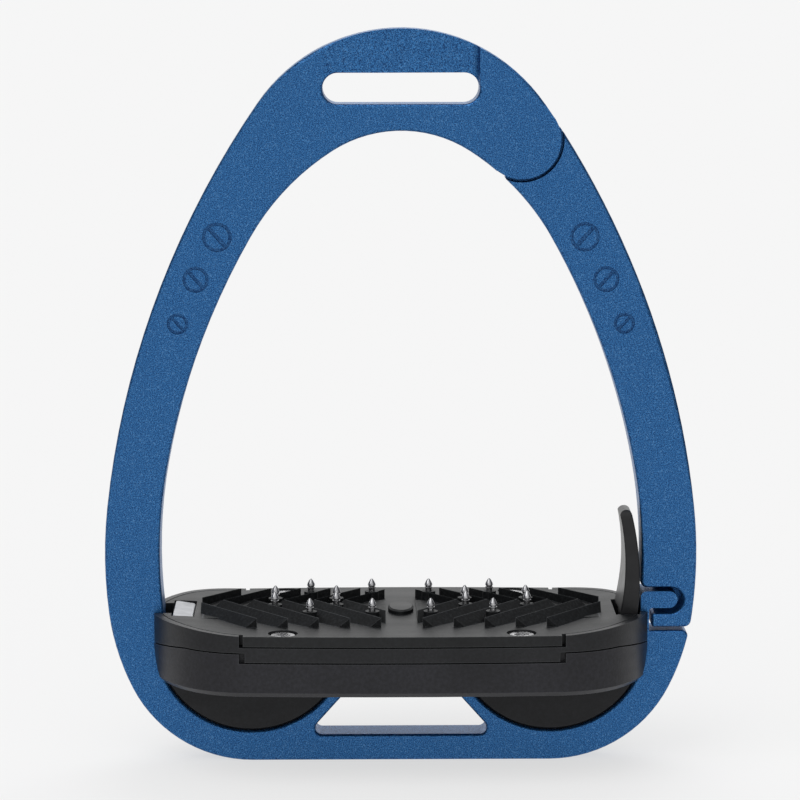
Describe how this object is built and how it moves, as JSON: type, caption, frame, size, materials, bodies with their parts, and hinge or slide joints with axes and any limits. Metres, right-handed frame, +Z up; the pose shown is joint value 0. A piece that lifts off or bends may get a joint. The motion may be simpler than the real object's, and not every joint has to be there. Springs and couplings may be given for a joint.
{
  "type": "stirrup iron",
  "caption": "Safety stirrup iron: arched metal iron with a leather eye, a side arm that swings open on a pivot, a layered footbed with studded chevron grip pads and a release lever.",
  "frame": {"origin": "on the ground under the middle of the iron, at the centre of its flat bottom", "axes": "+Z up, +X across the foot towards the release arm, +Y from the front to the rear of the footbed"},
  "size_m": [0.147, 0.0586, 0.1822],
  "materials": {
    "iron": "blue anodised, bead blasted",
    "steel": "satin",
    "bronze": "plain",
    "shell": "fine texture",
    "plate": "satin",
    "pad": "matte",
    "stud": "bright",
    "lever": "satin",
    "plug": "satin"
  },
  "bodies": {
    "iron": {"frame": "iron", "pivot_screw": "steel", "thrust_washer": "bronze", "arm_spring": "steel", "base_shell": "shell", "mid_band": "shell", "tread_plate": "plate", "tread_screws": "steel", "base_screws": "steel", "left_damper": "pad", "right_damper": "pad", "slot_plug": "plug", "lever_pin": "steel", "lever_spring": "steel", "left_grip_pad": "pad", "right_grip_pad": "pad", "left_studs": "stud", "right_studs": "stud"},
    "swing_arm": {"release_arm": "iron", "pivot_bush": "bronze"},
    "release_lever": {"lever": "lever"}
  },
  "joints": [
    {"name": "arm_hinge", "type": "hinge", "parent": "iron", "child": "swing_arm", "pos_m": [0.02945, 0, 0.1552], "axis": [0, -1, 0], "range_deg": [0, 35], "stiffness_Nm_per_rad": 0.3, "deforming": ["arm_spring"]},
    {"name": "lever_pivot", "type": "hinge", "parent": "iron", "child": "release_lever", "pos_m": [0.0564, 0, 0.0362], "axis": [0, 1, 0], "range_deg": [0, 5], "deforming": ["lever_spring"]}
  ],
  "couplings": [
    {"joint": "lever_pivot", "follows": "arm_hinge", "ratio": 0.14286}
  ]
}
